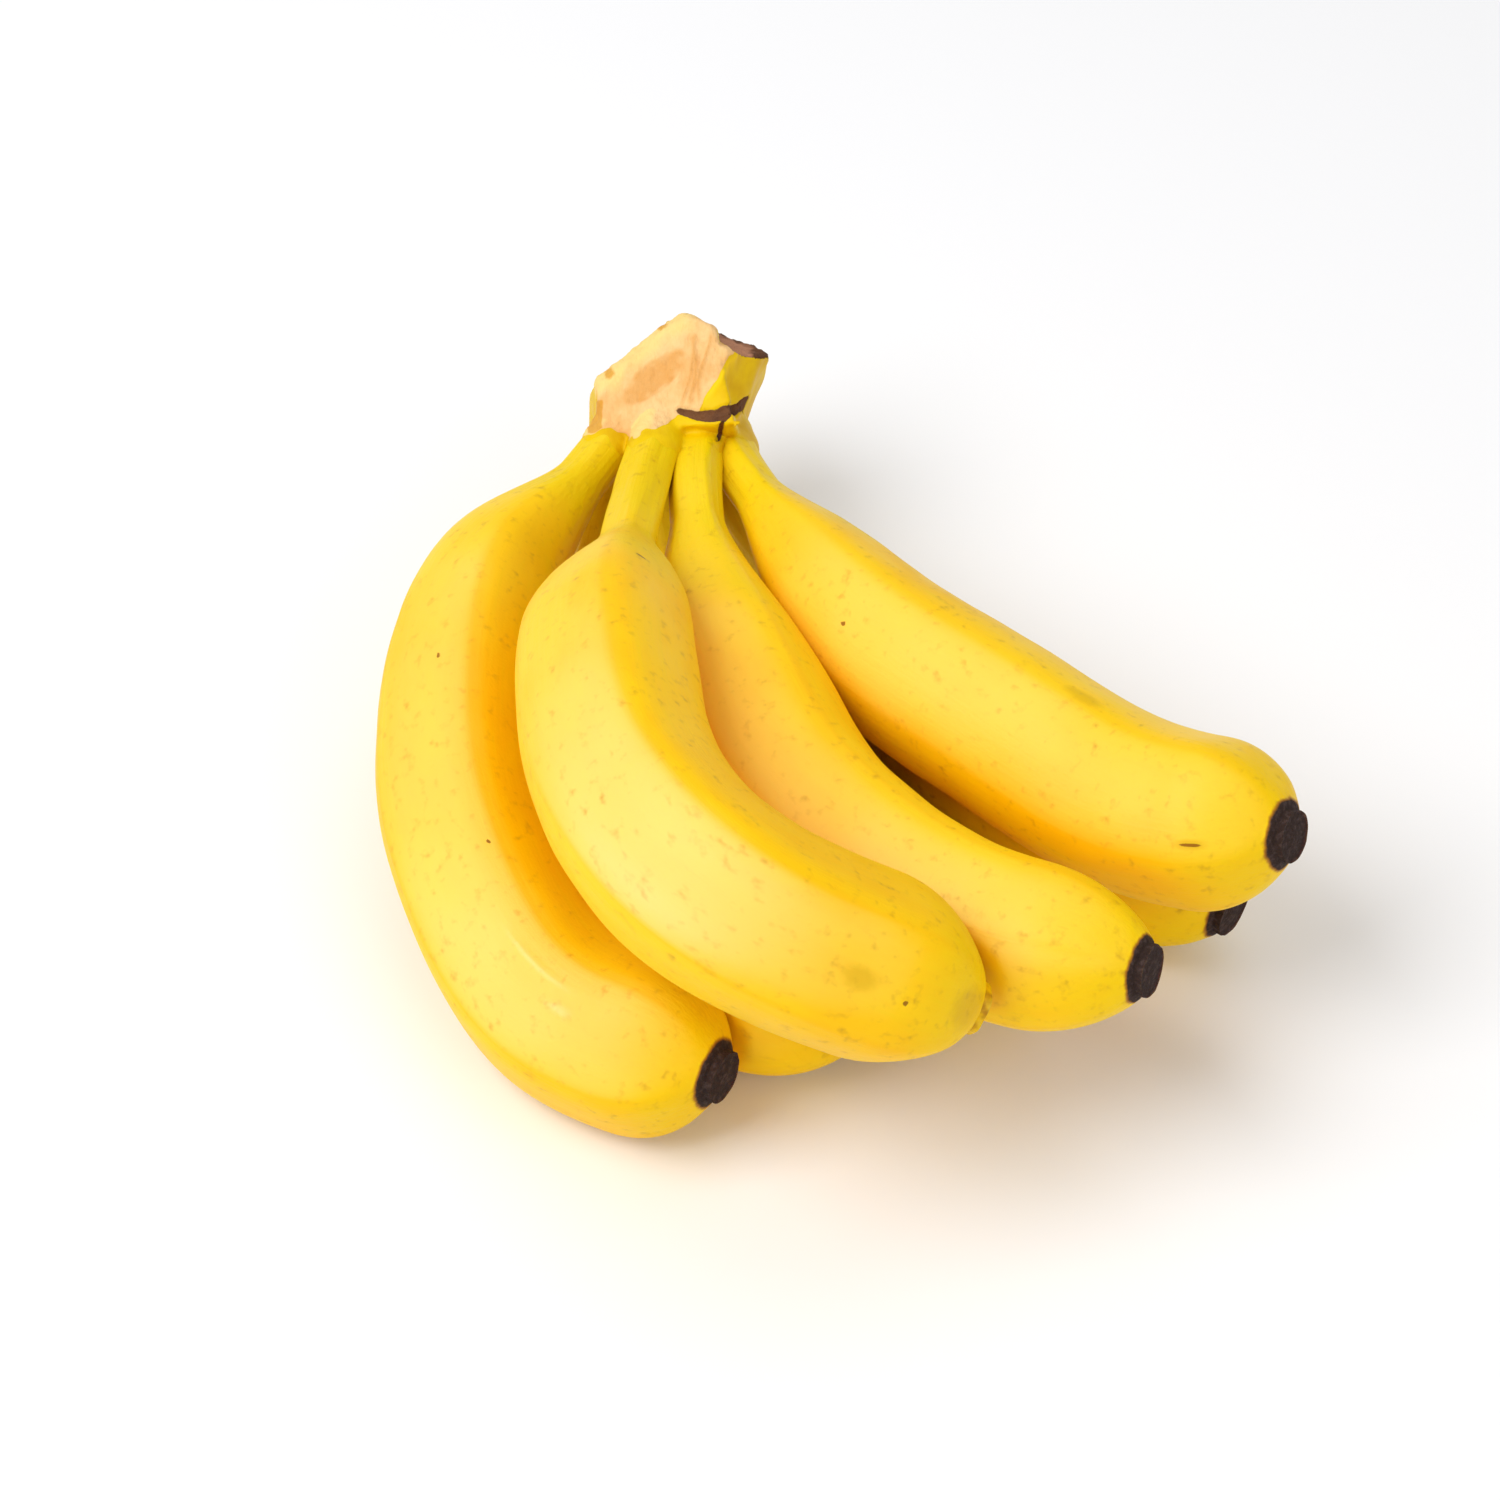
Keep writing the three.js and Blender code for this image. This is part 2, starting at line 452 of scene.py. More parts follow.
        blank = points.copy()
        blank[:, :2] *= (scale * grow)[:, None]
        placed = self._press(self.spine.bend(blank), along, neighbours)
        placed[:, 2] = SOFTNESS * np.logaddexp(0, placed[:, 2] / SOFTNESS)  # it lies on the floor
        set_coordinates(piece.data, placed * MM)
        piece.data.flip_normals()  # bending mirrors the blank
        paint(piece.data, "blank", blank * MM)
        paint(piece.data, "ridge", edge * in_body)
        paint(piece.data, "dry", dry * self.char)
        for kind, strength in marked.items():
            paint(piece.data, kind.value, strength)
        # Painted highlight: paler on the side that faces up and forward, toward the key lamp and the camera,
        # scaled for each fruit.
        paint(piece.data, "painted_sheen", self.painted_sheen * self._painted_sheen(piece.data))
        wander = Noise(self.seed + 5, 30).at(points) * 9
        neck_green = smooth(along + wander, self.stem + 42, self.stem - 4)
        tip_green = 0.55 * smooth(along + wander * 0.4, length - 24, length - 6)
        paint(piece.data, "green", np.clip(np.maximum(neck_green, tip_green) * GREENING, 0, 1))
        bpy.ops.object.shade_smooth()
        return piece

    @staticmethod
    def _painted_sheen(mesh: bpy.types.Mesh) -> np.ndarray:
        """Painted highlight at each point, lying on the side that faces up and forward, toward the key lamp
        and the camera.
        """
        return smooth(point_normals(mesh) @ PAINTED_SHEEN_SIDE, 0.62, 1.0)

    def _press(self, placed: np.ndarray, along: np.ndarray, neighbours: list["Fruit"]) -> np.ndarray:
        """Flattens the fruit where a neighbour pushes into it, half way each.

        Args:
            placed: Bent points, in millimetres.
            along: Their distances from the crown.
            neighbours: The other fruits.

        Returns:
            The pressed points.
        """
        pressed = placed.copy()
        for other in neighbours:
            line = other.spine.position[::7]
            reach = other.radius_at(other.spine.distance[::7])
            low, high = line.min(axis=0) - 24, line.max(axis=0) + 24
            near = np.where(np.all((placed > low) & (placed < high), axis=1))[0]
            if not len(near):
                continue
            apart = placed[near][:, None] - line[None]
            gap = np.linalg.norm(apart, axis=2) - reach[None]
            closest = gap.argmin(axis=1)
            depth = -gap[np.arange(len(near)), closest]
            push = 0.5 * SOFTNESS * np.logaddexp(0, (depth + 0.1) / SOFTNESS)
            away = apart[np.arange(len(near)), closest]
            away /= np.linalg.norm(away, axis=1)[:, None]
            push *= smooth(along[near], 6, 22)
            pressed[near] += away * push[:, None]
        return pressed


FRUITS = [
    Fruit("banana_top", 18.4, 50, 56, 23,
          ((-6, -16, 44), (-9.5, -40.5, 49), (-13, -80.5, 60), (-14.5, -120.5, 70),
           (-8, -159, 74), (13.5, -183.5, 70), (57.5, -185.5, 45.5)),
          seed=11, roll=-10, char=0.14, painted_sheen=1.0, marks=(
              Mark(MarkKind.DASH, 115, 80, 9.0, 0.5), Mark(MarkKind.DASH, 100, 80, 4.0, 0.5),
              Mark(MarkKind.DASH, 85, 85, 1.0, 2.8), Mark(MarkKind.SMUDGE, 200, 25, 7, 5),
              Mark(MarkKind.DASH, 210, 20, 1.0, 1.4), Mark(MarkKind.SMUDGE, 225, 30, 9, 9))),
    Fruit("banana_left", 18.0, 20, 60, 20,
          ((-13, -9, 42), (-24, -29, 40.5), (-40, -54, 37), (-46, -88, 34),
           (-42.5, -125, 26.5), (-24.5, -160, 18), (9, -181, 20)), seed=23, roll=19, painted_sheen=0.6, marks=(
              Mark(MarkKind.WAX, 165, 75, 17, 1.2), Mark(MarkKind.WAX, 175, 60, 5, 2.4),
              Mark(MarkKind.DASH, 90, 75, 1.3, 1.1), Mark(MarkKind.DASH, 135, 90, 1.2, 1.0))),
    Fruit("banana_middle", 17.0, 34, 66, 26,
          ((3, -12, 40), (2, -37, 45), (5, -68, 45), (13, -102, 47),
           (27, -136, 47), (56, -161, 43.5), (91, -179.5, 49.5)), seed=37, roll=-32, painted_sheen=0.55),
    Fruit("banana_right", 18.1, 28, 70, 20,
          ((8.5, -6, 35), (12.5, -25, 40), (26, -53, 42), (42, -82, 43),
           (64, -105.5, 44.5), (91, -128, 43), (121, -147, 53)), seed=41, roll=17, crisp=0.35, painted_sheen=0.38,
          freckles=0.07, marks=(
              Mark(MarkKind.DASH, 175, 25, 4.2, 0.7), Mark(MarkKind.SMUDGE, 175, 25, 6.5, 2),
              Mark(MarkKind.DASH, 85, 50, 1.3, 1.2), Mark(MarkKind.SMUDGE, 135, 100, 10, 4))),
    Fruit("banana_lower_left", 16.4, 28, 74, 26,
          ((-13, -4, 31), (-19, -25, 26), (-21, -51, 19), (-17, -85, 17),
           (-7, -121, 17), (13, -154, 16), (38, -163, 16.5)), seed=53, char=0.25),
    Fruit("banana_lower_middle", 16.0, 30, 74, 26,
          ((-3, -4, 30), (-3, -28, 25), (4, -54, 18), (16, -81, 16),
           (31, -107, 16), (50, -133, 16), (68.5, -154, 17)), seed=67),
    Fruit("banana_lower_right", 16.2, 28, 80, 24,
          ((7, -1, 28), (13, -21, 24), (27, -39, 18), (44, -62, 16),
           (61, -87, 16), (86, -113, 17), (113, -134, 17)), seed=71),
]


# ---- Crown ------------------------------------------------------------------------------------


class Face(Enum):
    """The named faces of the crown."""

    CUT = "cut"
    BEVEL = "bevel"
    LEFT = "left"
    TOP_LEFT = "top_left"
    TOP = "top"
    INNER = "inner"
    FLANK = "flank"
    DRY_END = "dry_end"
    RIGHT = "right"
    BACK = "back"
    BOTTOM = "bottom"


@dataclass
class Crown:
    """The woody crown, in its own leaning axes: x to the right, y up its face, z out of its face."""

    planes: dict[Face, tuple[Point, float]] = field(default_factory=lambda: {
        Face.CUT: ((-0.25, 0.29, 0.92), 17.5),
        Face.BEVEL: ((-0.58, 0.73, 0.36), 18.0),
        Face.LEFT: ((-0.99, 0.0, 0.12), 20.9),
        Face.TOP_LEFT: ((-0.62, 0.785, 0.0), 16.2),
        Face.TOP: ((0.48, 0.875, 0.06), 17.1),
        Face.INNER: ((0.98, 0.2, 0.0), 9.5),
        Face.FLANK: ((0.756, -0.252, 0.605), 15.5),
        Face.DRY_END: ((0.31, 0.94, 0.16), 15.4),
        Face.RIGHT: ((0.93, -0.36, 0.05), 12.9),
        Face.BACK: ((0.0, 0.2, -0.98), 12.5),
        Face.BOTTOM: ((0.0, -0.98, 0.18), 11.0),
    })
    blocks: tuple[tuple[Face, ...], ...] = (
        (Face.CUT, Face.BEVEL, Face.LEFT, Face.TOP_LEFT, Face.TOP, Face.INNER, Face.BACK, Face.BOTTOM),
        (Face.CUT, Face.FLANK, Face.DRY_END, Face.RIGHT, Face.BACK, Face.BOTTOM),
    )
    starts: tuple[float, ...] = (-24.0, -5.0)  # left end of each block
    half_size: float = 24.0
    grain: float = 0.45
    collar: tuple[tuple[float, float], ...] = (  # place along the stem and half thickness
        (-5.0, 6.6), (0.0, 6.8), (4.0, 6.5), (8.0, 6.1), (11.0, 5.8), (14.0, 5.2))
    # Places across the crown, then the height or the half thickness at each.
    hem: tuple[tuple[float, ...], ...] = (
        (-21, -16.5, -12.7, -7.3, -4.6, -1.9, 3), (-8.4, -7.3, -9.5, -8.0, -6.2, -4.6, -3.6))
    seam: tuple[tuple[float, ...], ...] = (
        (-2.0, 2.4, 6.1, 8.7, 11.2, 13.7, 15.9), (-3.3, -4.5, -4.6, -3.9, -2.4, -0.5, 1.6))
    seam_thickness: tuple[tuple[float, ...], ...] = (
        (-3, -1.5, 3, 8, 12, 15, 17), (0.0, 0.7, 1.0, 1.3, 1.25, 0.9, 0.7))
    strings: tuple[tuple[float, ...], ...] = (  # root, lean, sway and width
        (1.0, 0.10, 0.7, 0.42), (2.8, 0.16, -0.5, 0.35), (-0.4, 0.22, 0.5, 0.3))

    def build(self, fruits: list[Fruit]) -> bpy.types.Object:
        """Cuts the blocks, grows them together with the stems' collars and roughens its skin.

        Args:
            fruits: The fruits whose stems it holds.

        Returns:
            The piece, with its place in its mesh.
        """
        piece, *rest = [self._block(faces, start) for faces, start in zip(self.blocks, self.starts)]
        collars = [self._collar(fruit) for fruit in fruits]
        deselect()
        for part in [piece, *rest, *collars]:
            part.select_set(True)
        bpy.context.view_layer.objects.active = piece
        bpy.ops.object.join()
        apply_modifier(piece, "REMESH", mode="VOXEL", voxel_size=self.grain)
        apply_modifier(piece, "SMOOTH", factor=0.5, iterations=6)
        self._sculpt(piece.data)
        bpy.ops.object.shade_smooth()
        return piece

    def _block(self, faces: tuple[Face, ...], start: float) -> bpy.types.Object:
        """Cuts the faces of one block and rounds its edges.

        Args:
            faces: The faces to cut.
            start: Where the block begins, from the left.

        Returns:
            The block.
        """
        deselect()
        bpy.ops.mesh.primitive_cube_add(size=2 * self.half_size)
        block = bpy.context.object
        block.name = "crown_wood"
        bpy.ops.object.mode_set(mode="EDIT")
        cuts = [self.planes[face] for face in faces] + [((-1.0, 0.0, 0.0), -start)]
        for normal, distance in cuts:
            bpy.ops.mesh.select_all(action="SELECT")
            direction = Vector(normal).normalized()
            bpy.ops.mesh.bisect(plane_co=direction * distance, plane_no=direction,
                                use_fill=True, clear_outer=True)
        bpy.ops.mesh.select_all(action="SELECT")
        bpy.ops.mesh.remove_doubles(threshold=0.01)
        bpy.ops.mesh.bevel(offset=1.0, segments=3, affect="EDGES")
        bpy.ops.mesh.normals_make_consistent(inside=False)
        bpy.ops.object.mode_set(mode="OBJECT")
        set_coordinates(block.data, self._to_frame(coordinates(block.data)))
        return block

    def _collar(self, fruit: Fruit) -> bpy.types.Object:
        """Makes the collar that grows from the crown around one stem."""
        deselect()
        first, thickness = self.collar[0]
        bpy.ops.mesh.primitive_circle_add(vertices=24, radius=thickness, fill_type="NGON")
        collar = bpy.context.object
        bpy.ops.object.mode_set(mode="EDIT")
        bpy.ops.mesh.select_all(action="SELECT")
        bpy.ops.transform.translate(value=(0, 0, first))
        for (last, was), (here, becomes) in zip(self.collar, self.collar[1:]):
            bpy.ops.mesh.extrude_region_move(TRANSFORM_OT_translate={"value": (0, 0, here - last)})
            ratio = becomes / was
            bpy.ops.transform.resize(value=(ratio, ratio, 1), center_override=(0, 0, here))
        bpy.ops.mesh.select_all(action="SELECT")
        bpy.ops.mesh.normals_make_consistent(inside=False)
        bpy.ops.object.mode_set(mode="OBJECT")
        set_coordinates(collar.data, fruit.spine.bend(coordinates(collar.data)))
        return collar

    def _axes(self) -> np.ndarray:
        """The crown's own axes as rows, in the frame."""
        return np.array([[1, 0, 0], [0, math.cos(LEAN), math.sin(LEAN)],
                         [0, -math.sin(LEAN), math.cos(LEAN)]])

    def _to_frame(self, points: np.ndarray) -> np.ndarray:
        """Moves points from the crown's own axes into the frame, in millimetres."""
        return points @ self._axes() + CROWN_CENTRE - ORIGIN_FROM_CROWN

    def _to_own(self, points: np.ndarray) -> np.ndarray:
        """Moves points from the frame into the crown's own axes, in millimetres."""
        return (points - CROWN_CENTRE + ORIGIN_FROM_CROWN) @ self._axes().T

    def _facing(self, normals: np.ndarray, face: Face) -> np.ndarray:
        """How squarely each point faces the way one cut face does, from 0 to 1."""
        direction = np.array(self.planes[face][0])
        return smooth(normals @ (direction / np.linalg.norm(direction)), 0.80, 0.93)

    def _sculpt(self, mesh: bpy.types.Mesh) -> None:
        """Roughens the crown, stores where its finishes go and scales it to metres."""
        points = coordinates(mesh)
        own = self._to_own(points)
        across, up, out = own.T
        normals = point_normals(mesh)
        facing = normals @ self._axes().T
        ragged = Noise(5, 5).at(own)
        hem = np.interp(across, *self.hem) + 0.7 * ragged
        side = 3.5 + (up + 1.9) * 0.565 + 0.35 * ragged
        front = smooth(out, 2.0, 5.0) * smooth(up, hem - 0.5, hem + 0.5)
        cut = np.maximum(self._facing(facing, Face.CUT), smooth(out, 10.0, 12.0) * (facing[:, 2] > 0.1))
        cut *= smooth(across, side + 0.5, side - 0.5)
        # Painted highlight: the cut flesh is paler on the bevel that faces up and left, and near the upper
        # left edge.
        inside = 16.3 + 0.62 * across - 0.785 * up  # from the upper left edge
        pale = smooth(inside + 0.9 * Noise(12, 6).at(own), 6.2, 1.5)
        bevel = np.maximum(self._facing(facing, Face.BEVEL), pale)
        top = self._facing(facing, Face.TOP) * smooth(across, 8.5, 7.0)
        flesh = np.clip(cut + bevel + top, 0, 1) * front
        rim = np.exp(-((across - side - 0.9) / 0.9) ** 2) * front * smooth(up, -3, 0)
        normal, distance = self.planes[Face.DRY_END]
        level = own @ (np.array(normal) / np.linalg.norm(normal)) - distance
        dry_end = smooth(np.abs(level), 1.7, 0.9) * (facing[:, 1] > 0.2)
        dry_end *= smooth(0.767 * (across - 5.4) + 0.642 * (up - 16.1), -0.4, 0.5)
        pith = dry_end * smooth(out, -8.0, -5.0) * smooth(across + 0.8 * ragged, 15.2, 13.6)
        line = np.interp(across, *self.seam)
        thick = np.interp(across, *self.seam_thickness)
        seam = smooth(np.abs(up - line) + 0.25 * ragged, thick + 0.5, thick - 0.2)
        seam *= smooth(out, 1.0, 3.5) * smooth(across, -3.0, -1.8)
        tail = smooth(np.abs(across - 7.7 - 0.3 * (up + 7)), 0.75, 0.25) * smooth(np.abs(up + 7), 3.6, 2.6)
        seam = np.maximum(seam, tail * smooth(out, 3.0, 5.0))
        slant = np.hypot(((across + 7.0) * 0.78 + (up - 4.2) * 0.62) / 8.0,
                         ((across + 7.0) * -0.62 + (up - 4.2) * 0.78) / 3.0)
        core = (0.7 * smooth(slant + 0.1 * Noise(6, 4).at(own), 1.15, 0.7)
                + 0.3 * np.exp(-((slant - 1.0) / 0.13) ** 2)) * cut * front
        strings = np.zeros(len(own))
        for root, lean, sway, width in self.strings:
            run = root + lean * up + sway * np.sin(up * 0.36)
            strings = np.maximum(strings, np.exp(-((across - run) / width) ** 2))
        strings *= smooth(up, -2.5, 0.0) * smooth(up, 15.0, 12.5) * front
        stain = np.exp(-(np.hypot(across + 5.5, up - 16.0) / 1.6) ** 2)
        stain += np.exp(-(np.hypot(across + 17.2, up - 5.6) / 1.5) ** 2)
        stain += smooth(np.abs(across + 20.0), 2.2, 1.0) * smooth(np.abs(up + 4.6), 4.8, 3.4)
        fibre = Noise(7, 3.0).at(own * np.array([1.0, 0.25, 0.6]))
        lumps = Noise(8, 11).at(own)
        height = 0.35 * lumps + flesh * (0.16 * fibre + 0.12 * Noise(10, 1.6).at(own)) + 0.45 * strings
        height += 0.25 * Noise(9, 2.2).at(own) * np.maximum(dry_end, seam) - 0.9 * seam - 0.45 * core
        height += 0.35 * rim - 0.5 * pith
        points = points + normals * height[:, None]
        set_coordinates(mesh, points * MM)
        shades = {"cut": flesh, "bevel": bevel * front, "rim": rim, "dry": np.maximum(dry_end, seam),
                  "pith": pith, "core": core, "strings": strings, "stain": np.clip(stain, 0, 1) * front}
        for name, values in shades.items():
            paint(mesh, name, values)


# ---- Finishes ---------------------------------------------------------------------------------


class Graph:
    """A node tree with short ways to add and join nodes."""

    def __init__(self, tree: bpy.types.NodeTree) -> None:
        """Keeps the tree that nodes are added to."""
        self.tree = tree

    def node(self, kind: str, inputs: dict[str | int, object] | None = None,
             **settings: object) -> bpy.types.Node:
        """Adds a node.

        Args:
            kind: The node's type, without the leading ShaderNode.
            inputs: What to set or link on its inputs, by name or place.
            **settings: The node's own settings.

        Returns:
            The node.
        """
        made = self.tree.nodes.new(f"ShaderNode{kind}")
        for name, value in settings.items():
            setattr(made, name, value)
        for key, value in (inputs or {}).items():
            self.feed(made.inputs[key], value)
        return made

    def feed(self, socket: Socket, value: object) -> None:
        """Links a socket to an output, or sets its plain value."""
        if isinstance(value, Socket):
            self.tree.links.new(value, socket)
        else:
            socket.default_value = value

    def stored(self, name: str, output: str = "Fac") -> Socket:
        """Reads a number, or a row as Vector, stored on the mesh."""
        return self.node("Attribute", attribute_name=name).outputs[output]

    def math(self, operation: str, first: object, second: object = 0.0) -> Socket:
        """Works out one number from two."""
        return self.node("Math", {0: first, 1: second}, operation=operation).outputs[0]

    def times(self, first: object, second: object) -> Socket:
        """Multiplies two numbers."""
        return self.math("MULTIPLY", first, second)

    def rise(self, value: object, start: float, end: float, low: float = 0.0,
             high: float = 1.0) -> Socket:
        """Rises smoothly from low at start to high at end."""
        made = self.node("MapRange", {0: value, 1: start, 2: end, 3: low, 4: high},
                         interpolation_type="SMOOTHSTEP")
        return made.outputs[0]

    def noise(self, vector: object, scale: float, detail: float = 2.0,
              roughness: float = 0.5) -> Socket:
        """Cloudy noise around one half."""
        made = self.node("TexNoise", {"Vector": vector, "Scale": scale, "Detail": detail,
                                      "Roughness": roughness})
        return made.outputs[0]

    def stretched(self, vector: object, scale: Point,
                  shift: Point = (0.0, 0.0, 0.0)) -> Socket:
        """Moves and stretches a pattern's coordinates."""
        made = self.node("Mapping", {"Vector": vector, "Location": shift, "Scale": scale})
        return made.outputs[0]

    def mix(self, share: object, first: object, second: object) -> Socket:
        """Blends one colour over another."""
        made = self.node("Mix", data_type="RGBA")
        self.feed(made.inputs[0], share)
        self.feed(made.inputs[6], first)
        self.feed(made.inputs[7], second)
        return made.outputs[2]

    def place(self, group: bpy.types.NodeTree, inputs: dict[str, object]) -> bpy.types.Node:
        """Places a shared effect with its own values."""
        made = self.tree.nodes.new("ShaderNodeGroup")
        made.node_tree = group
        for key, value in inputs.items():
            self.feed(made.inputs[key], value)
        return made


def new_group(name: str, inputs: dict[str, tuple[str, object]],
              outputs: dict[str, str]) -> tuple[bpy.types.NodeTree, Graph, bpy.types.Node, bpy.types.Node]:
    """Starts a shared effect.

    Args:
        name: Its name.
        inputs: Socket kind and starting value for each input.
        outputs: Socket kind for each output.

    Returns:
        The group, a graph to fill it with, its input node and its output node.
    """
    tree = bpy.data.node_groups.new(name, "ShaderNodeTree")
    for key, (kind, value) in inputs.items():
        socket = tree.interface.new_socket(key, in_out="INPUT", socket_type=f"NodeSocket{kind}")
        if value is not None:
            socket.default_value = value
    for key, kind in outputs.items():
        tree.interface.new_socket(key, in_out="OUTPUT", socket_type=f"NodeSocket{kind}")
    graph = Graph(tree)
    return tree, graph, graph.tree.nodes.new("NodeGroupInput"), graph.tree.nodes.new("NodeGroupOutput")


def freckle_group() -> bpy.types.NodeTree:
    """Scattered small marks: a mask that is 1 inside each mark.

    Returns:
        The shared effect.
    """
    tree, graph, given, out = new_group(
        "freckles",
        {"Vector": ("Vector", None), "Scale": ("Float", 200.0), "Size": ("Float", 0.2),
         "Share": ("Float", 0.3)},
        {"Mask": "Float"})
    ragged = graph.noise(given.outputs["Vector"], 1400.0, 2.0)
    cells = graph.node("TexVoronoi", {"Vector": given.outputs["Vector"], "Scale": given.outputs["Scale"]})
    parts = graph.node("SeparateColor", {0: cells.outputs["Color"]})
    chosen = graph.math("LESS_THAN", parts.outputs[0], given.outputs["Share"])
    spread = graph.times(given.outputs["Size"],
                         graph.math("ADD", graph.times(parts.outputs[1], 0.8), 0.3))
    off = graph.math("ADD", cells.outputs["Distance"],
                     graph.times(graph.math("SUBTRACT", ragged, 0.5), 0.16))
    inside = graph.node("MapRange", {0: off, 1: spread, 2: graph.times(spread, 0.45),
                                     3: 0.0, 4: 1.0}, interpolation_type="SMOOTHSTEP")
    graph.feed(out.inputs["Mask"], graph.times(inside.outputs[0], chosen))
    return tree


def mottle_group() -> bpy.types.NodeTree:
    """Soft uneven patches at two scales: a mask between 0 and 1.

    Returns:
        The shared effect.
    """
    tree, graph, given, out = new_group(
        "mottle",
        {"Vector": ("Vector", None), "Broad": ("Float", 30.0), "Fine": ("Float", 200.0)},
        {"Mask": "Float"})
    broad = graph.noise(given.outputs["Vector"], 1.0, 3.0)
    graph.feed(broad.node.inputs["Scale"], given.outputs["Broad"])
    fine = graph.noise(given.outputs["Vector"], 1.0, 3.0)
    graph.feed(fine.node.inputs["Scale"], given.outputs["Fine"])
    both = graph.math("ADD", graph.times(broad, 0.7), graph.times(fine, 0.3))
    graph.feed(out.inputs["Mask"], graph.rise(both, 0.36, 0.64))
    return tree


@dataclass(frozen=True)
class Effects:
    """The effects that both finishes share."""

    freckles: bpy.types.NodeTree
    mottle: bpy.types.NodeTree


def start_material(name: str, roughness: float) -> tuple[bpy.types.Material, Graph, bpy.types.Node]:
    """Starts a material.

    Args:
        name: Its name.
        roughness: The same roughness all over.

    Returns:
        The material, its graph and its shader.
    """
    material = bpy.data.materials.new(name)
    material.use_nodes = True
    graph = Graph(material.node_tree)
    shader = material.node_tree.nodes["Principled BSDF"]
    shader.inputs["Roughness"].default_value = roughness
    return material, graph, shader


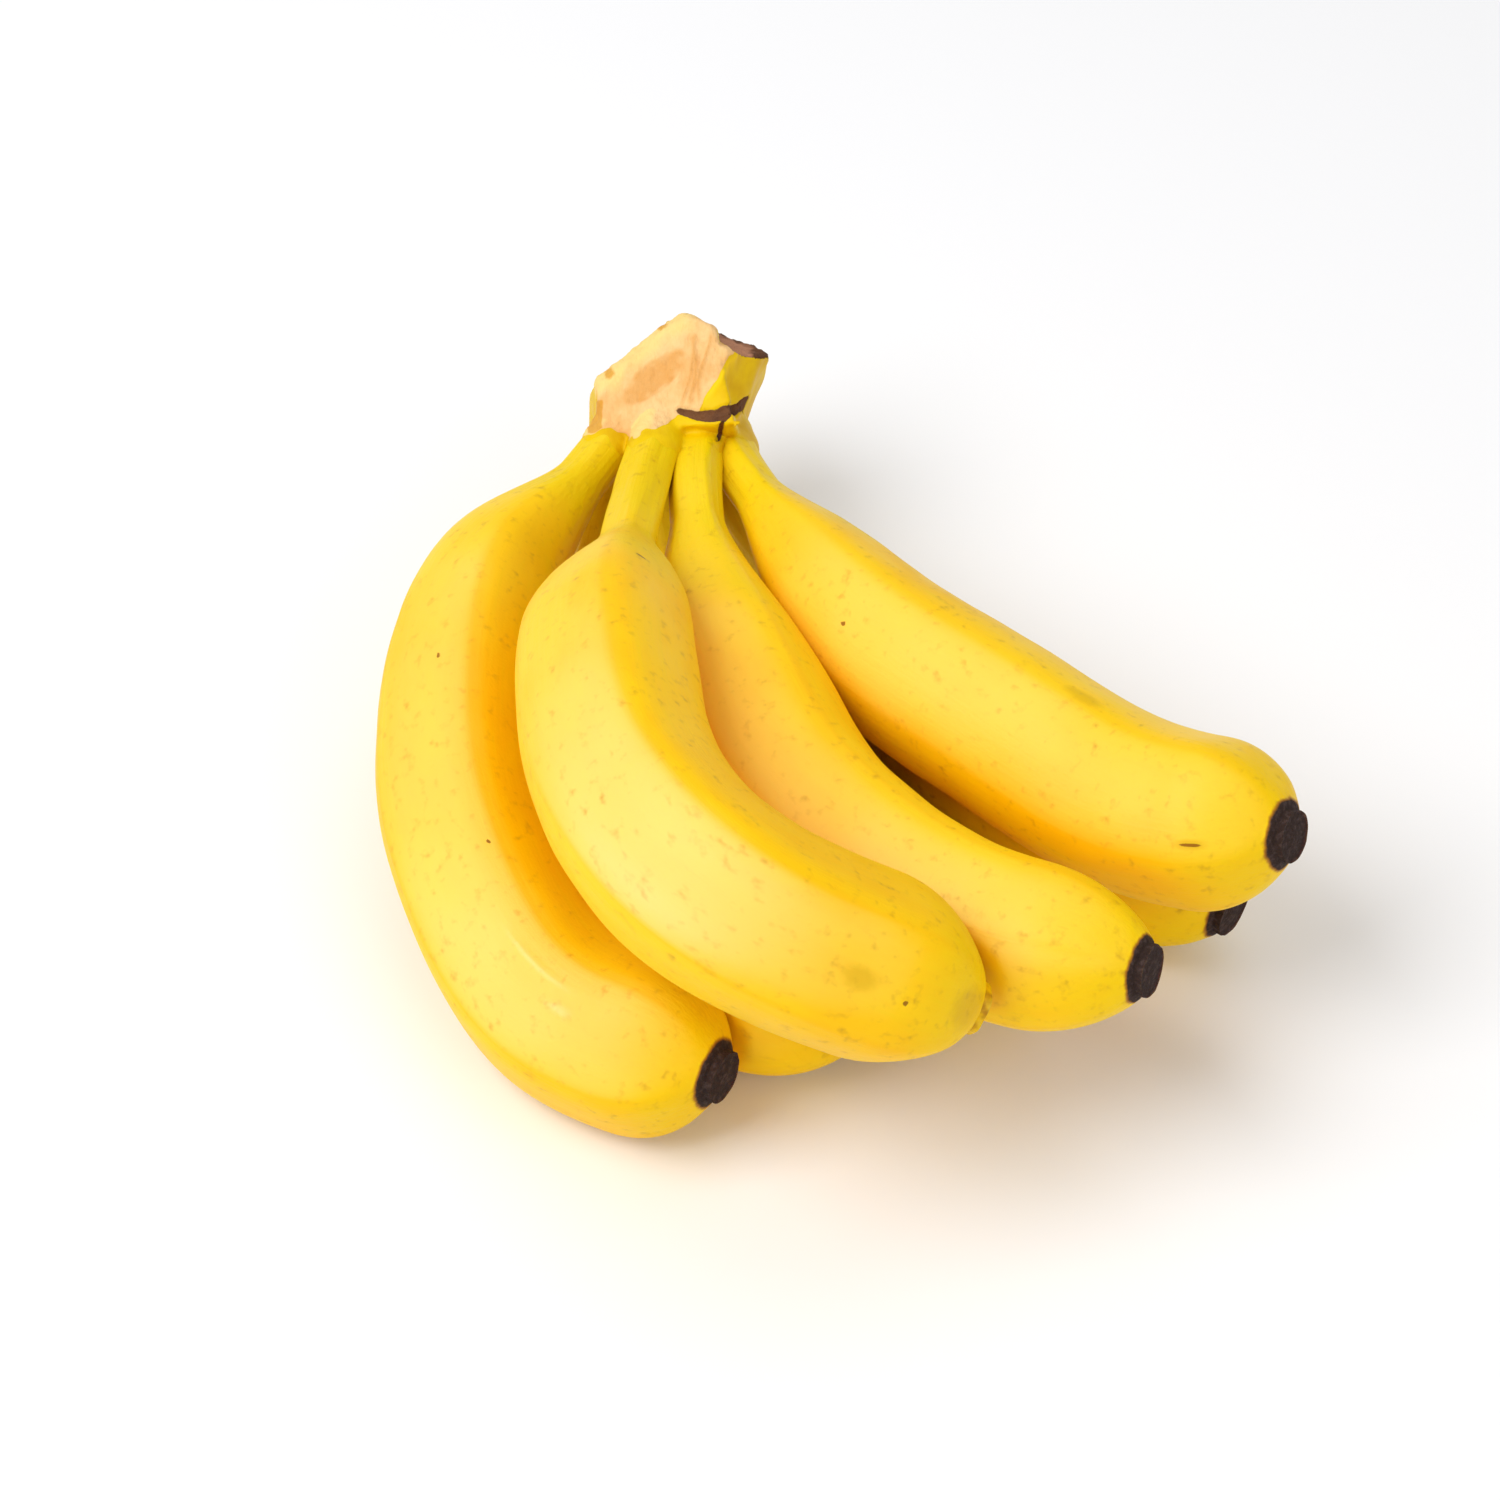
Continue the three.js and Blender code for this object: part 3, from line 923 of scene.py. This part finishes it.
@dataclass(frozen=True)
class Peel:
    """Ripe waxy peel, greener at the neck, freckled, with a dry dark stub and a painted highlight on its
    upper front side.
    """

    name: str
    freckle_share: float = 0.02
    dash_share: float = 0.012
    shift: float = 0.0
    ripe: Colour = linear(255, 203, 0)
    deep: Colour = linear(250, 182, 0)
    pale: Colour = linear(255, 214, 30)
    green: Colour = linear(236, 204, 0)
    mark: Colour = linear(150, 92, 20)
    dry: Colour = linear(56, 41, 36)
    dry_light: Colour = linear(96, 78, 74)
    singed: Colour = linear(176, 116, 20)
    olive: Colour = linear(212, 166, 2)
    rust: Colour = linear(134, 74, 8)
    # pale colour of the painted highlight on the upper front side, also tinting the wax marks
    painted_sheen: Colour = linear(255, 218, 132)

    def make(self, effects: Effects) -> bpy.types.Material:
        """Builds the material.

        Args:
            effects: The shared effects.

        Returns:
            The material.
        """
        material, graph, shader = start_material(self.name, 0.46)
        blank = graph.stored("blank", "Vector")
        here = graph.stretched(blank, (1, 1, 1), (self.shift, self.shift * 0.7, self.shift * 1.3))
        along = graph.stretched(here, (1, 1, 0.22))
        mottle = graph.place(effects.mottle, {"Vector": graph.stretched(here, (1, 1, 0.45)),
                                              "Broad": 42.0, "Fine": 210.0}).outputs["Mask"]
        cloud = graph.rise(graph.noise(here, 16.0, 2.0), 0.40, 0.66)
        colour = graph.mix(graph.times(mottle, 0.55), self.ripe, self.deep)
        colour = graph.mix(graph.times(cloud, 0.45), colour, self.pale)
        streak = graph.rise(graph.noise(graph.stretched(here, (1, 1, 0.05)), 620.0, 3.0), 0.52, 0.74)
        colour = graph.mix(graph.times(streak, 0.16), colour, self.green)
        # Painted highlight: the stored mask, broken up by the cloud noise, pales the peel on its upper front
        # side.
        painted_sheen = graph.times(graph.stored("painted_sheen"), graph.rise(cloud, 0.0, 1.0, 0.62, 0.95))
        colour = graph.mix(painted_sheen, colour, self.painted_sheen)
        ridge = graph.stored("ridge")
        colour = graph.mix(graph.times(ridge, 0.28), colour, self.deep)
        green = graph.stored("green")
        colour = graph.mix(graph.times(green, 0.92), colour, self.green)
        specks = graph.place(effects.freckles, {"Vector": graph.stretched(here, (1, 1, 0.55)), "Scale": 230.0,
                                                "Size": 0.17, "Share": self.freckle_share}).outputs["Mask"]
        patch = graph.rise(graph.noise(here, 24.0, 1.0), 0.42, 0.62)
        specks = graph.times(specks, graph.math("ADD", graph.times(patch, 0.8), 0.12))
        dashes = graph.place(effects.freckles, {"Vector": along, "Scale": 150.0, "Size": 0.12,
                                                "Share": self.dash_share}).outputs["Mask"]
        marks = graph.math("MAXIMUM", graph.times(specks, 0.12), graph.times(dashes, 0.08))
        colour = graph.mix(marks, colour, self.mark)
        ragged = graph.times(graph.math("SUBTRACT", graph.noise(here, 700.0, 2.0), 0.5), 0.5)
        smudge = graph.rise(graph.math("ADD", graph.stored("smudge"), ragged), 0.15, 1.0)
        colour = graph.mix(graph.times(smudge, 0.5), colour, self.olive)
        single = graph.rise(graph.math("ADD", graph.stored("dash"),
                                       graph.times(ragged, 0.6)), 0.42, 0.62)
        colour = graph.mix(graph.times(single, 0.85), colour, self.rust)
        # Wax marks: a raised, coated mark, whose pale tint of the highlight colour is a painted highlight.
        wax_and_sheen = graph.stored("wax_and_sheen")
        colour = graph.mix(graph.times(wax_and_sheen, 0.22), colour, self.painted_sheen)
        dry = graph.stored("dry")
        edge = graph.math("ADD", dry, graph.times(graph.math(
            "SUBTRACT", graph.noise(here, 420.0, 2.0), 0.5), 0.5))
        colour = graph.mix(graph.rise(edge, 0.02, 0.3), colour, self.singed)
        dust = graph.rise(graph.noise(here, 900.0, 3.0), 0.45, 0.75)
        colour = graph.mix(graph.rise(edge, 0.22, 0.55), colour,
                           graph.mix(graph.times(dust, 0.5), self.dry, self.dry_light))
        graph.feed(shader.inputs["Base Color"], colour)
        rough = graph.rise(graph.math("ADD", mottle, marks), 0.0, 1.6, 0.40, 0.56)
        rough = graph.math("MAXIMUM", rough, graph.times(graph.rise(edge, 0.1, 0.5), 0.85))
        graph.feed(shader.inputs["Roughness"], rough)
        pores = graph.noise(here, 1500.0, 2.0)
        fibre = graph.noise(graph.stretched(here, (1, 1, 0.06)), 900.0, 3.0)
        crust = graph.noise(here, 800.0, 4.0, 0.65)
        height = graph.math("ADD", graph.times(pores, 0.00005),
                            graph.times(fibre, graph.rise(green, 0.0, 1.0, 0.00008, 0.0003)))
        height = graph.math("ADD", height, graph.times(graph.times(crust, dry), 0.0014))
        height = graph.math("SUBTRACT", height, graph.times(marks, 0.00006))
        bump = graph.node("Bump", {"Strength": 0.9, "Distance": 1.0, "Height": height})
        graph.feed(shader.inputs["Normal"], bump.outputs[0])
        graph.feed(shader.inputs["Coat Weight"], graph.times(wax_and_sheen, 0.35))
        shader.inputs["Coat Roughness"].default_value = 0.12
        shader.inputs["Specular IOR Level"].default_value = 0.13
        shader.inputs["Subsurface Weight"].default_value = 0.12
        shader.inputs["Subsurface Radius"].default_value = (1.0, 0.42, 0.06)
        shader.inputs["Subsurface Scale"].default_value = 0.004
        return material


@dataclass(frozen=True)
class CrownWood:
    """Peel-skinned crown with a pale fibrous cut face, a painted highlight on the cut flesh of its upper left
    bevel, and brown dried edges.
    """

    name: str = "crown_wood"
    skin: Colour = linear(222, 176, 0)
    skin_light: Colour = linear(234, 196, 0)
    rim: Colour = linear(246, 206, 16)
    cut: Colour = linear(238, 184, 116)
    cut_light: Colour = linear(246, 204, 142)
    core: Colour = linear(218, 152, 70)
    # painted highlight colour for the cut flesh on the upper left bevel
    bevel: Colour = linear(250, 216, 134)
    stain: Colour = linear(214, 146, 24)
    dry: Colour = linear(120, 80, 52)
    char: Colour = linear(84, 56, 44)
    pith: Colour = linear(184, 132, 102)

    def make(self, effects: Effects) -> bpy.types.Material:
        """Builds the material.

        Args:
            effects: The shared effects.

        Returns:
            The material.
        """
        material, graph, shader = start_material(self.name, 0.68)
        place = graph.node("TexCoord").outputs["Object"]
        mottle = graph.place(effects.mottle, {"Vector": place, "Broad": 90.0, "Fine": 420.0}).outputs["Mask"]
        fleck = graph.place(effects.freckles, {"Vector": place, "Scale": 420.0, "Size": 0.2,
                                               "Share": 0.06}).outputs["Mask"]
        grain = graph.noise(graph.stretched(place, (1.0, 0.35, 0.35)), 900.0, 3.0, 0.6)
        grain = graph.rise(grain, 0.40, 0.64)
        skin = graph.mix(mottle, self.skin, self.skin_light)
        skin = graph.mix(graph.stored("rim"), skin, self.rim)
        flesh = graph.mix(mottle, self.cut, self.cut_light)
        flesh = graph.mix(graph.times(grain, 0.14), flesh, self.core)
        # Painted highlight on the upper left bevel.
        flesh = graph.mix(graph.times(graph.stored("bevel"), 0.85), flesh, self.bevel)
        flesh = graph.mix(graph.times(graph.stored("core"), 0.8), flesh, self.core)
        flesh = graph.mix(graph.times(graph.stored("strings"), 0.6), flesh, self.core)
        wobble = graph.times(graph.math("SUBTRACT", graph.noise(place, 500.0, 3.0), 0.5), 0.6)
        cut = graph.stored("cut")
        colour = graph.mix(graph.rise(graph.math("ADD", cut, wobble), 0.34, 0.6), skin, flesh)
        stain = graph.stored("stain")
        colour = graph.mix(graph.times(graph.rise(graph.math("ADD", stain, wobble), 0.3, 0.8), 0.75),
                           colour, self.stain)
        colour = graph.mix(graph.times(fleck, 0.3), colour, self.stain)
        dry = graph.stored("dry")
        burnt = graph.mix(mottle, self.char, self.dry)
        burnt = graph.mix(graph.stored("pith"), burnt, self.pith)
        colour = graph.mix(graph.rise(graph.math("ADD", dry, wobble), 0.3, 0.6), colour, burnt)
        graph.feed(shader.inputs["Base Color"], colour)
        matt = graph.math("MAXIMUM", cut, dry)
        graph.feed(shader.inputs["Roughness"], graph.rise(matt, 0.1, 0.6, 0.48, 0.85))
        fibre = graph.noise(graph.stretched(place, (1.0, 0.4, 0.4)), 800.0, 4.0, 0.6)
        height = graph.times(fibre, graph.math("ADD", graph.times(cut, 0.0005), 0.00015))
        height = graph.math("ADD", height, graph.times(dry, graph.math(
            "MULTIPLY", graph.noise(place, 1000.0, 3.0), 0.0008)))
        bump = graph.node("Bump", {"Strength": 0.9, "Distance": 1.0, "Height": height})
        graph.feed(shader.inputs["Normal"], bump.outputs[0])
        shader.inputs["Specular IOR Level"].default_value = 0.12
        return material


def dress(piece: bpy.types.Object, material: bpy.types.Material) -> None:
    """Gives a piece its only material."""
    piece.data.materials.clear()
    piece.data.materials.append(material)


# ---- Stage ------------------------------------------------------------------------------------


@dataclass(frozen=True)
class Lamp:
    """A soft square lamp. Lengths in metres, power in watts."""

    name: str
    place: Point
    size: float
    power: float


@dataclass(frozen=True)
class Stage:
    """The pale floor, the lamps and the camera."""

    aim: Point = (-0.0159, -0.0187, 0.0405)
    distance: float = 0.854
    elevation: float = math.radians(45)
    lens: float = 100.0
    floor_reach: float = 6.0
    lamps: tuple[Lamp, ...] = (
        Lamp("key", (-0.75, -0.35, 1.05), 0.9, 12.0),
        Lamp("fill", (0.9, -0.9, 0.6), 1.2, 4.2),
        Lamp("top", (0.1, 0.5, 1.3), 1.0, 3.0),
    )

    def clear(self) -> None:
        """Removes the objects that a new file starts with."""
        kept = set(frame["nodes"].values())
        for thing in list(bpy.data.objects):
            if thing not in kept and thing.type in {"MESH", "LIGHT", "CAMERA"}:
                bpy.data.objects.remove(thing)

    def build(self) -> None:
        """Sets the floor, the lamps, the sky and the camera."""
        deselect()
        bpy.ops.mesh.primitive_plane_add(size=self.floor_reach)
        floor = bpy.context.object
        floor.name = "floor"
        material, _, shader = start_material("floor", 0.9)
        shader.inputs["Base Color"].default_value = (0.93, 0.93, 0.94, 1)
        shader.inputs["Specular IOR Level"].default_value = 0.1
        dress(floor, material)
        for lamp in self.lamps:
            self._light(lamp)
        world = bpy.context.scene.world or bpy.data.worlds.new("sky")
        bpy.context.scene.world = world
        world.use_nodes = True
        sky = world.node_tree.nodes["Background"]
        sky.inputs["Color"].default_value = (1, 1, 1, 1)
        sky.inputs["Strength"].default_value = 0.48
        bpy.context.scene.view_settings.view_transform = "Standard"
        self._camera()

    def _light(self, lamp: Lamp) -> None:
        """Adds one lamp that faces the hand."""
        bpy.ops.object.light_add(type="AREA", location=lamp.place)
        light = bpy.context.object
        light.name = lamp.name
        light.data.size = lamp.size
        light.data.energy = lamp.power
        toward = Vector(self.aim) - Vector(lamp.place)
        light.rotation_euler = toward.to_track_quat("-Z", "Y").to_euler()

    def _camera(self) -> None:
        """Adds the camera, looking down on the hand from the front."""
        back = Vector((0, -math.cos(self.elevation), math.sin(self.elevation)))
        bpy.ops.object.camera_add(location=Vector(self.aim) + back * self.distance)
        camera = bpy.context.object
        camera.rotation_euler = (-back).to_track_quat("-Z", "Y").to_euler()
        camera.data.lens = self.lens
        camera.data.sensor_width = 36.0
        camera.data.clip_start = 0.01
        bpy.context.scene.camera = camera


def main() -> None:
    """Builds the hand, dresses it and sets the stage."""
    stage = Stage()
    stage.clear()
    effects = Effects(freckle_group(), mottle_group())
    for fruit in FRUITS:
        others = [other for other in FRUITS if other is not fruit]
        piece = fruit.build(others)
        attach(piece, "root")
        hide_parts(fruit.node)
        peel = Peel(f"peel_{fruit.node}", freckle_share=fruit.freckles, shift=0.1 * fruit.seed)
        dress(piece, peel.make(effects))
        log.info("%s: %.0f mm long, %d faces", piece.name, fruit.spine.length, len(piece.data.polygons))
    crown = Crown().build(FRUITS)
    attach(crown, "root")
    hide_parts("crown")
    dress(crown, CrownWood().make(effects))
    log.info("%s: %d faces", crown.name, len(crown.data.polygons))
    stage.build()


if __name__ == "__main__":
    main()
